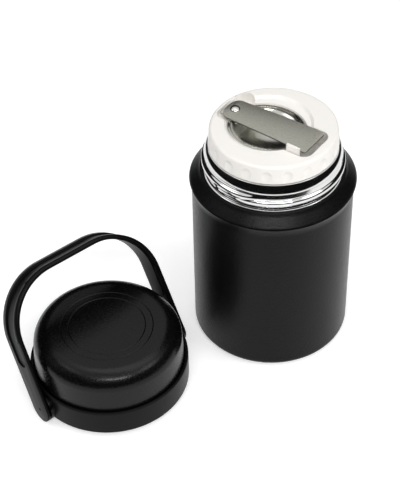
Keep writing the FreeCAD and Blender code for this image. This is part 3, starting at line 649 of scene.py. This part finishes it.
# %% Carve the dish and the bowl's hollow
SPOON_SHIFT = -1.2
DISH_PLACE = (-4.0, 1.2, CAP_TOP - 0.2)
DISH_LOW_RADIUS = 22.9
DISH_TOP_RADIUS = 25.3
DISH_HEIGHT = 2.4
clear_selection()
bpy.ops.mesh.primitive_cone_add(vertices=128, radius1=DISH_LOW_RADIUS * MM, radius2=DISH_TOP_RADIUS * MM,
                                depth=DISH_HEIGHT * MM, location=[c * MM for c in DISH_PLACE])
finger_dish = bpy.context.object
finger_dish.name = "finger_dish"
carve_cap(finger_dish)
HOLLOW_PLACE = (-3.4, SPOON_SHIFT + 0.1, 140.3)
HOLLOW_HALF_SIZES = (22.8, 20.2, 8.9)
carve_cap(ball("bowl_hollow", HOLLOW_PLACE, HOLLOW_HALF_SIZES, 96, 40))

# %% Carve the slot, the notch and the scoop
OVER_CAP = 145
carve_cap(block("handle_slot", along=(-3, 29.8), across=(-13.6, 11.2), levels=(132.2, OVER_CAP),
                corners=(0, 5.5), rounding=0.7))
carve_cap(block("rivet_notch", along=(-32.4, -3), across=(-10.4, 8.0), levels=(138.9, OVER_CAP),
                corners=(5, 0), rounding=0.5))
scoop = rod("finger_scoop", place=(-26.4, 11, 139), radius=5.6, length=9, sides=64)
soften(scoop, 2.0, segments=5, angle=50)
carve_cap(scoop)

# %% [markdown]
# ## The snap tab and the low post
# Two small walls rise from the slot's floor and hold the handle's tip between them. The tab stands
# above the handle and snaps over its edge, and the post ends level with the cap.

# %% Add the tab and the post
SLOT_FLOOR = 131.5
carve_cap(block("snap_tab", along=(16.3, 24.3), across=(-13.1, -11.4), levels=(SLOT_FLOOR, 145.3),
                rounding=0.35), "UNION")
carve_cap(block("low_post", along=(16, 24), across=(9.0, 10.5), levels=(SLOT_FLOOR, CAP_TOP),
                rounding=0.3), "UNION")

# %% [markdown]
# ## The thumb flutes
# Twenty shallow flutes run round the side, for a grip on the cap. They are dents that fade out
# downwards, so the lower edge stays a clean circle. One oval ball is pulled longer and outwards
# below its middle, then copied round the cap, and all copies are cut out at once.

# %% Shape one dent
FLUTE_HEIGHT = 135.5
FLUTE_REACH = 36.75
FLUTE_HALF_SIZES = (2.2, 3.75, 4.2)
LONGER_BELOW = 0.9
OUTER_BELOW = 0.2
dent = ball("dent", (FLUTE_REACH, 0, FLUTE_HEIGHT), FLUTE_HALF_SIZES, 32, 24)
for corner in dent.data.vertices:
    below = FLUTE_HEIGHT * MM - corner.co.z
    if below > 0:
        corner.co.z -= LONGER_BELOW * below
        corner.co.x += OUTER_BELOW * below
heights = [corner.co.z / MM for corner in dent.data.vertices]
print("a dent is", round(max(heights) - min(heights), 1), "mm high")

# %% Carve the flutes
FLUTES = 20
FIRST_FLUTE = math.radians(9.7)
dents = []
for i in range(FLUTES):
    copy = dent.copy()
    copy.data = dent.data.copy()
    copy.data.transform(Matrix.Rotation(FIRST_FLUTE + math.tau * i / FLUTES, 4, "Z"))
    bpy.context.scene.collection.objects.link(copy)
    dents.append(copy)
bpy.data.objects.remove(dent)
join(dents)
carve_cap(dents[0])
smooth(stopper_cap, 28)
hand_over(stopper_cap, "stopper", "cream_plastic", cream, "stopper_shell")

# %% [markdown]
# ## The spoon's bowl
# The folding spoon is three pieces of stamped steel. The bowl is half of a flattened ball, so it
# starts as a sphere that is cut at its rim and given a thickness. Its shank is a small plate, round
# at both ends, with a lug behind the rivet that stops the handle.

# %% Make the bowl
SHEET = 0.8
RIM = 139.5
BOWL_ALONG = -3.1
BOWL_HALF_SIZES = (22.3, 19.7, 7.8)
spoon_dish = ball("spoon_dish", (BOWL_ALONG, SPOON_SHIFT, RIM), BOWL_HALF_SIZES, 96, 48)
edit(spoon_dish)
bpy.ops.mesh.select_all(action="SELECT")
bpy.ops.mesh.bisect(plane_co=(0, 0, RIM * MM), plane_no=(0, 0, 1), clear_outer=True)
done()
apply_modifier(spoon_dish, "SOLIDIFY", thickness=SHEET * MM, offset=-1)
print("bowl:", [round(size / MM, 1) for size in spoon_dish.dimensions], "mm")

# %% Add the shank and its stop lug
RIVET = -24.4
SHANK_BACK = RIVET - 4.3
SHANK_FRONT = -17.0
SHANK_SIDES = (SPOON_SHIFT - 7.0, SPOON_SHIFT + 7.0)
SHANK_LEVELS = (139.2, 141.4)
LUG_BACK = RIVET - 6.7
LUG_SIDES = (SPOON_SHIFT - 5.2, SPOON_SHIFT + 0.2)
LUG_LEVELS = (140.4, 141.4)
shank = block("shank", (SHANK_BACK, SHANK_FRONT), SHANK_SIDES, SHANK_LEVELS, corners=(5.0, 3.0))
lug = block("lug", (LUG_BACK, RIVET), LUG_SIDES, LUG_LEVELS, corners=(1.2, 0))
for part in (shank, lug):
    soften(part, 0.25, segments=2)
join([spoon_dish, shank, lug])
settle(spoon_dish, SPOON_TURN)
smooth(spoon_dish, 35)
hand_over(spoon_dish, "spoon", "spoon_steel", bright, "spoon_bowl")

# %% [markdown]
# ## The spoon's rivet
# The rivet has a flat head below, a thin stem through the plates, and a low dome on top, where it was
# pressed. It is turned round its own axis, then put at its place along the spoon.

# %% Make the rivet
HEAD_LOW = 139.8
HEAD_TOP = 140.4
HEAD_RADIUS = 2.7
STEM_RADIUS = 1.6
DOME_LOW = 143.25
rivet_dome = turned("rivet_dome", [
    (0, HEAD_LOW),
    (HEAD_RADIUS, HEAD_LOW, 0.3),
    (HEAD_RADIUS, HEAD_TOP),
    (STEM_RADIUS, HEAD_TOP),
    (STEM_RADIUS, DOME_LOW),
    (2.75, DOME_LOW),
    (2.7, 143.55),
    (2.35, 143.95),
    (1.7, 144.25),
    (0.9, 144.42),
    (0, 144.47),
], sides=48)
settle(rivet_dome, SPOON_TURN @ Matrix.Translation((RIVET * MM, SPOON_SHIFT * MM, 0)))
hand_over(rivet_dome, "spoon", "spoon_steel", bright, "spoon_rivet")

# %% [markdown]
# ## The spoon's handle
# The handle is a flat blade, wider towards its tip, with a round end that turns on the rivet. The
# outline is drawn as one flat face. Its end edge is extruded step by step and squeezed each time, so
# that it closes to a round end, and only then is the face made thick.

# %% Draw the blade
BLADE_LOW = 141.92
BLADE_TIP = 27.0
BLADE_LENGTH = BLADE_TIP - RIVET
RIVET_HALF = 8.2
TIP_HALF = 9.9
clear_selection()
bpy.ops.mesh.primitive_grid_add(x_subdivisions=12, y_subdivisions=1, size=1)
spoon_blade = bpy.context.object
spoon_blade.name = "spoon_blade"
spoon_blade.scale = (BLADE_LENGTH * MM, 2 * MM, 1)
spoon_blade.location = ((BLADE_TIP + RIVET) / 2 * MM, 0, BLADE_LOW * MM)
bpy.ops.object.transform_apply(location=True, scale=True)
for corner in spoon_blade.data.vertices:
    share = (corner.co.x / MM - RIVET) / BLADE_LENGTH
    corner.co.y *= RIVET_HALF + (TIP_HALF - RIVET_HALF) * share
print("blade:", round(BLADE_LENGTH, 1), "mm from the rivet to the tip")

# %% Close the blade's round end
END_STEPS = 10
END_ANGLE = math.radians(87)
END_LENGTH = 5.0
END_FULLNESS = 0.72
edit(spoon_blade)
pick(spoon_blade, lambda p: p.x < RIVET + NEAR)
last_angle = 0.0
for i in range(1, END_STEPS + 1):
    angle = END_ANGLE * i / END_STEPS
    step = END_LENGTH * (math.sin(angle) - math.sin(last_angle))
    bpy.ops.mesh.extrude_edges_move(TRANSFORM_OT_translate={"value": (-step * MM, 0, 0)})
    squeeze = (math.cos(angle) / math.cos(last_angle)) ** END_FULLNESS
    bpy.ops.transform.resize(value=(1, squeeze, 1), center_override=(0, 0, 0))
    last_angle = angle
done()
print("round end:", len(spoon_blade.data.polygons), "faces")

# %% Bow the blade, round its tip and make it thick
BLADE_BOW = 0.45
BOW_REACH = 2.4
TIP_ROUND = 1.7
BLADE_THICK = 1.2
for corner in spoon_blade.data.vertices:
    share = max(0.0, (corner.co.x / MM - RIVET) / BLADE_LENGTH)
    corner.co.z += BLADE_BOW * MM * math.sin(share * BOW_REACH)
work_on(spoon_blade)
for corner in spoon_blade.data.vertices:
    corner.select = corner.co.x > (BLADE_TIP - NEAR) * MM
bpy.ops.object.mode_set(mode="EDIT")
bpy.ops.mesh.select_mode(type="VERT")
bpy.ops.mesh.bevel(offset=TIP_ROUND * MM, segments=5, affect="VERTICES")
done()
apply_modifier(spoon_blade, "SOLIDIFY", thickness=BLADE_THICK * MM, offset=1)
soften(spoon_blade, 0.22, segments=3)
settle(spoon_blade, SPOON_TURN @ Matrix.Translation((0, SPOON_SHIFT * MM, 0)))
hand_over(spoon_blade, "spoon_grip", "spoon_steel", satin, "spoon_handle")

# %% [markdown]
# ## The lid's cup
# The lid is a spun cup, upside down, with a generous rounded edge. Its flat top has two hairline
# rings, left by the tool that pressed it. They are real grooves here, a seventh of a millimetre deep.
# The piece is turned round its own axis and then put beside the jar.

# %% Turn the lid's cup
LID_X = -90.9
LID_Y = -56.35
LID_PLACE = Matrix.Translation((LID_X * MM, LID_Y * MM, 0))
LID_RADIUS = 42.7
LID_SHOULDER = 41.4
LID_LOW = 12.0
LID_TOP = 42.7
LID_ROUND = 9.5
BAND_TOP = 19.2
HAIRLINES = (25.9, 21.6)
HAIR_HALF = 0.3
HAIR_DEPTH = 0.14
top_rings = []
for groove in HAIRLINES:
    top_rings.append((groove + HAIR_HALF, LID_TOP))
    top_rings.append((groove, LID_TOP - HAIR_DEPTH))
    top_rings.append((groove - HAIR_HALF, LID_TOP))
lid_dome = turned("lid_dome", [
    (LID_RADIUS - WALL, LID_LOW),
    (LID_RADIUS, LID_LOW),
    (LID_RADIUS, BAND_TOP),
    (LID_SHOULDER, LID_TOP, LID_ROUND),
    *top_rings,
    (0, LID_TOP),
    (0, LID_TOP - WALL),
    (LID_SHOULDER - WALL, LID_TOP - WALL, LID_ROUND - WALL),
    (LID_RADIUS - WALL, BAND_TOP),
])
settle(lid_dome, LID_PLACE)
hand_over(lid_dome, "lid", "lid_coat", lid_coat, "lid_cup")

# %% [markdown]
# ## The lid's band
# A moulded ring grips the lid's lower half, with a dark groove between it and the cup. It is turned
# like the cup, with a step inside that leaves the groove.

# %% Turn the band
BAND_RADIUS = 45.0
BAND_LOW = 3.3
BAND_INSIDE = 41.7
GROOVE_RADIUS = 43.3
GROOVE_LOW = 11.9
lid_ring = turned("lid_ring", [
    (BAND_INSIDE, BAND_LOW),
    (BAND_RADIUS, BAND_LOW, 0.8),
    (BAND_RADIUS, BAND_TOP, 0.9),
    (GROOVE_RADIUS, BAND_TOP, 0.3),
    (GROOVE_RADIUS, GROOVE_LOW),
    (BAND_INSIDE, GROOVE_LOW),
])
settle(lid_ring, LID_PLACE)
hand_over(lid_ring, "lid", "black_plastic", strap_plastic, "lid_band")

# %% [markdown]
# ## The two pivot ears
# Two round ears stand on the band and carry the strap's pivots. Each is a short rod, sunk into the
# ring, with a shallow recess in its outer face and a beveled rim.

# %% Make the ears
SIDEWAYS = (0, math.radians(90), 0)
HANDLE_HEADING = math.radians(42.1)
PIVOT_HEIGHT = 8.4
EAR_RADIUS = 8.0
EAR_OUT = 46.6
EAR_DEPTH = 4.6
EAR_RIM = 2.2
EAR_RECESS = 0.35
for ear_name, side in (("ear_near", -1), ("ear_far", 1)):
    ear_place = (side * (EAR_OUT - EAR_DEPTH / 2), 0, PIVOT_HEIGHT)
    ear = rod(ear_name, ear_place, EAR_RADIUS, EAR_DEPTH, 72, SIDEWAYS)
    settle(ear)
    edit(ear)
    pick(ear, lambda p: abs(abs(p.x) - EAR_OUT) < NEAR, "FACE")
    bpy.ops.mesh.inset(thickness=EAR_RIM * MM)
    bpy.ops.mesh.extrude_region_move(TRANSFORM_OT_translate={"value": (-side * EAR_RECESS * MM, 0, 0)})
    done()
    soften(ear, 0.6, segments=4)
    settle(ear, LID_PLACE @ Matrix.Rotation(HANDLE_HEADING, 4, "Z"))
    hand_over(ear, "lid", "black_plastic", lid_coat)

# %% [markdown]
# ## The carrying strap's path
# The strap is one moulded band, bent into an arch, with round ends on the pivots. Its middle line goes
# up one leg, round a corner, across, round the other corner and down. The legs lean together a little,
# so each corner turns less than a right angle. The arch is laid flat first, with the pivots on X.

# %% Lay out the arch
PIVOT_SPAN = 48.1
ARCH_HALF = 46.3
ARCH_HIGH = 73.3
ARCH_ROUND = 32.1
leg = Vector((PIVOT_SPAN - ARCH_HALF, ARCH_HIGH, 0))
leg_lean = math.atan2(leg.x, leg.y)
leg_up = leg.normalized()
leg_out = Vector((-leg_up.y, leg_up.x, 0))
corner_turn = math.radians(90) - leg_lean
corner_reach = ARCH_ROUND * math.tan(corner_turn / 2)
corner_centre = Vector((corner_reach - ARCH_HALF, ARCH_HIGH - ARCH_ROUND, 0))
print("each leg leans by", round(math.degrees(leg_lean), 2), "degrees")

# %% [markdown]
# ## Bands along the arch
# The strap, the shallow channel along its outside and the raised pad along its inside all have the
# same path, so one helper makes a band along it: a face is extruded up the leg, spun round the
# corner, extruded across, spun again and taken down the other leg. Both feet end in a half circle.

# %% Helper for a round foot
STRAP_END_ANGLE = math.radians(86)
STRAP_END_STEPS = 9


def round_end(direction, half_width):
    """Extrude the selected end face into a half circle."""
    last_angle = 0.0
    for i in range(1, STRAP_END_STEPS + 1):
        angle = STRAP_END_ANGLE * i / STRAP_END_STEPS
        move = direction * (half_width * (math.sin(angle) - math.sin(last_angle)) * MM)
        bpy.ops.mesh.extrude_region_move(TRANSFORM_OT_translate={"value": move})
        factor = math.cos(angle) / math.cos(last_angle)
        bpy.ops.transform.resize(value=(1, 1, factor), center_override=(0, 0, 0))
        last_angle = angle


# %% Helper for a band's first face
def start_band(name, inner, outer, half_width, start):
    """The flat face at the foot of a leg, as wide and thick as the band, that is pulled along."""
    clear_selection()
    bpy.ops.mesh.primitive_plane_add(size=1, rotation=(math.radians(90), 0, 0))
    band = bpy.context.object
    band.name = name
    bpy.ops.object.transform_apply(rotation=True)
    band.scale = ((outer - inner) * MM, 1, 2 * half_width * MM)
    band.rotation_euler = (0, 0, -leg_lean)
    band.location = start * MM
    settle(band)
    return band


# %% Helper for a whole band
SPIN_STEPS = 26
START_REACH = 0.5


def arch_band(name, inner, outer, half_width, foot):
    """A band along the arch between two distances from its middle line, with round feet."""
    start = Vector((-PIVOT_SPAN, 0, 0)) + leg_up * foot + leg_out * (inner + outer) / 2
    band = start_band(name, inner, outer, half_width, start)
    edit(band)
    bpy.ops.mesh.select_all(action="SELECT")
    rise = leg.length - corner_reach - foot
    bpy.ops.mesh.extrude_region_move(TRANSFORM_OT_translate={"value": leg_up * rise * MM})
    bpy.ops.mesh.spin(steps=SPIN_STEPS, angle=corner_turn, center=corner_centre * MM, axis=(0, 0, 1))
    bpy.ops.mesh.extrude_region_move(TRANSFORM_OT_translate={"value": (-2 * corner_centre.x * MM, 0, 0)})
    far_centre = (-corner_centre.x * MM, corner_centre.y * MM, 0)
    bpy.ops.mesh.spin(steps=SPIN_STEPS, angle=corner_turn, center=far_centre, axis=(0, 0, 1))
    down = Vector((leg_up.x, -leg_up.y, 0))
    bpy.ops.mesh.extrude_region_move(TRANSFORM_OT_translate={"value": down * rise * MM})
    round_end(down, half_width)
    pick(band, lambda p: p.x < 0 and p.y < start.y + START_REACH, "FACE")
    round_end(-leg_up, half_width)
    bpy.ops.mesh.select_all(action="SELECT")
    bpy.ops.mesh.normals_make_consistent(inside=False)
    done()
    print(name, "starts", foot, "mm from the pivot")
    return band


# %% [markdown]
# ## The carrying strap
# The pad is joined on and the channel cut out with Booleans, and a small dimple marks the pivot. The
# finished strap is leaned back to where it stands in the photograph and put on the lid's pivots.

# %% Make the strap
STRAP_HALF = 1.2
PAD_RISE = 0.5
PAD_SUNK = 0.3
CHANNEL_DEPTH = 0.9
CHANNEL_CLEAR = 2.0
DIMPLE_CLEAR = 0.4
carry_strap = arch_band("carry_strap", -STRAP_HALF, STRAP_HALF, half_width=8.05, foot=0.0)
inner_pad = arch_band("inner_pad", -STRAP_HALF - PAD_RISE, -STRAP_HALF + PAD_SUNK, half_width=5.2, foot=27.0)
channel = arch_band("channel", STRAP_HALF - CHANNEL_DEPTH, STRAP_HALF + CHANNEL_CLEAR, half_width=4.6,
                    foot=31.0)
carve(carry_strap, inner_pad, "UNION")
carve(carry_strap, channel)
dimple_place = (-(PIVOT_SPAN + STRAP_HALF + DIMPLE_CLEAR), 0, 0)
carve(carry_strap, rod("dimple", dimple_place, radius=0.9, length=2, sides=24, heading=SIDEWAYS))
soften(carry_strap, 0.35, segments=3, angle=35)

# %% Put the strap on its pivots
HANDLE_LEAN = math.radians(90 - 29.8)
HANDLE_PLACE = (Matrix.Translation((LID_X * MM, LID_Y * MM, PIVOT_HEIGHT * MM))
                @ Matrix.Rotation(HANDLE_HEADING, 4, "Z") @ Matrix.Rotation(HANDLE_LEAN, 4, "X"))
settle(carry_strap, HANDLE_PLACE)
hand_over(carry_strap, "bail", "black_plastic", strap_plastic, "carry_handle")

# %% [markdown]
# ## The studio's background
# The photo was taken on a white sweep under large soft lamps. The world and the floor are white to
# the camera, to mirrors and to glass, but give the object only a moderate light, so that black stays
# black. A few nodes tell the two kinds of ray apart, and both world and floor use them.


# %% Helper for light seen by camera and mirrors
def seen_directly(tree):
    """1 for camera, glossy and transmission rays, otherwise 0."""
    path = tree.nodes.new("ShaderNodeLightPath")
    seen = path.outputs["Is Camera Ray"]
    for ray in ("Is Glossy Ray", "Is Transmission Ray"):
        either = tree.nodes.new("ShaderNodeMath")
        either.operation = "MAXIMUM"
        tree.links.new(seen, either.inputs[0])
        tree.links.new(path.outputs[ray], either.inputs[1])
        seen = either.outputs["Value"]
    return seen


# %% Light the world
SKY_LIGHT = 0.27
SKY_SEEN = 1.0
bpy.context.scene.view_settings.view_transform = "Standard"
world = bpy.data.worlds.new("studio")
bpy.context.scene.world = world
world.use_nodes = True
sky = world.node_tree
background = sky.nodes["Background"]
background.inputs["Color"].default_value = (1, 1, 1, 1)
strength = sky.nodes.new("ShaderNodeMapRange")
strength.inputs["To Min"].default_value = SKY_LIGHT
strength.inputs["To Max"].default_value = SKY_SEEN
sky.links.new(seen_directly(sky), strength.inputs["Value"])
sky.links.new(strength.outputs["Result"], background.inputs["Strength"])
print("sky gives", SKY_LIGHT, "and is seen as", SKY_SEEN)

# %% [markdown]
# ## The floor
# The floor is matt white paper that also glows a little, and only to rays that see it directly. The
# glow lifts it to white in the picture, while the paper still takes the object's shadow.

# %% Make the paper
PAPER_WHITE = (0.92, 0.92, 0.92, 1)
PAPER_GLOW = 0.38
sweep = bpy.data.materials.new("sweep")
sweep.use_nodes = True
tree = sweep.node_tree
paper = tree.nodes["Principled BSDF"]
paper.inputs["Base Color"].default_value = PAPER_WHITE
paper.inputs["Roughness"].default_value = 0.9
paper.inputs["Specular IOR Level"].default_value = 0.0
glow = tree.nodes.new("ShaderNodeEmission")
glow.inputs["Color"].default_value = (1, 1, 1, 1)
glow_level = tree.nodes.new("ShaderNodeMath")
glow_level.operation = "MULTIPLY"
glow_level.inputs[1].default_value = PAPER_GLOW
tree.links.new(seen_directly(tree), glow_level.inputs[0])
tree.links.new(glow_level.outputs["Value"], glow.inputs["Strength"])
both = tree.nodes.new("ShaderNodeAddShader")
tree.links.new(paper.outputs["BSDF"], both.inputs[0])
tree.links.new(glow.outputs["Emission"], both.inputs[1])
tree.links.new(both.outputs["Shader"], tree.nodes["Material Output"].inputs["Surface"])
print("paper:", len(tree.nodes), "nodes")

# %% Lay the floor
FLOOR_SIZE = 8
FLOOR_LEVEL = -0.0002
clear_selection()
bpy.ops.mesh.primitive_plane_add(size=FLOOR_SIZE, location=(0, 0, FLOOR_LEVEL))
floor = bpy.context.object
floor.name = "floor"
dress(floor, sweep)
print("floor:", FLOOR_SIZE, "m wide")

# %% [markdown]
# ## The dark wall
# Polished steel needs something dark to mirror, or it would look like chalk. A low round wall of
# black cloth, open above, stands round the table. Only mirrors see it: it is hidden from the camera
# and throws no shadow, so no view is blocked by it.

# %% Stand up the dark wall
ROOM_RADIUS = 0.42
ROOM_HEIGHT = 0.41
ROOM_MIDDLE = 0.21
clear_selection()
bpy.ops.mesh.primitive_cylinder_add(vertices=64, radius=ROOM_RADIUS, depth=ROOM_HEIGHT,
                                    end_fill_type="NOTHING", location=(0, 0, ROOM_MIDDLE))
dark_room = bpy.context.object
dark_room.name = "dark_room"
black_cloth = bpy.data.materials.new("black_cloth")
black_cloth.use_nodes = True
cloth = black_cloth.node_tree.nodes["Principled BSDF"]
cloth.inputs["Base Color"].default_value = (0.012, 0.012, 0.012, 1)
cloth.inputs["Roughness"].default_value = 1.0
cloth.inputs["Specular IOR Level"].default_value = 0.0
dress(dark_room, black_cloth)
dark_room.visible_camera = False
dark_room.visible_diffuse = False
dark_room.visible_shadow = False
print("dark wall:", ROOM_HEIGHT, "m high")

# %% [markdown]
# ## The lamps
# Large rectangles of light give soft edges. The one on the right is stronger than the one on the left,
# so the jar's right side is paler. The narrow one in front draws the highlight along the lid's edge.

# %% Hang the lamps
LAMPS_AIM = Vector((-0.04, -0.02, 0.06))


def softbox(name, place, wide, high, watts):
    """A rectangular lamp that points at the middle of the object."""
    lamp_data = bpy.data.lights.new(name, "AREA")
    lamp_data.shape = "RECTANGLE"
    lamp_data.size = wide
    lamp_data.size_y = high
    lamp_data.energy = watts
    lamp = bpy.data.objects.new(name, lamp_data)
    lamp.location = place
    lamp.rotation_euler = (LAMPS_AIM - Vector(place)).to_track_quat("-Z", "Y").to_euler()
    bpy.context.scene.collection.objects.link(lamp)
    print(name, "gives", watts, "W")


softbox("top_box", place=(0.05, 0.2, 1.2), wide=1.0, high=0.6, watts=2.6)
softbox("left_box", place=(-1.0, -0.2, 0.75), wide=0.5, high=0.9, watts=2.6)
softbox("right_box", place=(0.95, -0.35, 0.8), wide=0.5, high=0.9, watts=4.6)
softbox("front_box", place=(0.05, -1.0, 1.15), wide=1.1, high=0.14, watts=10.5)
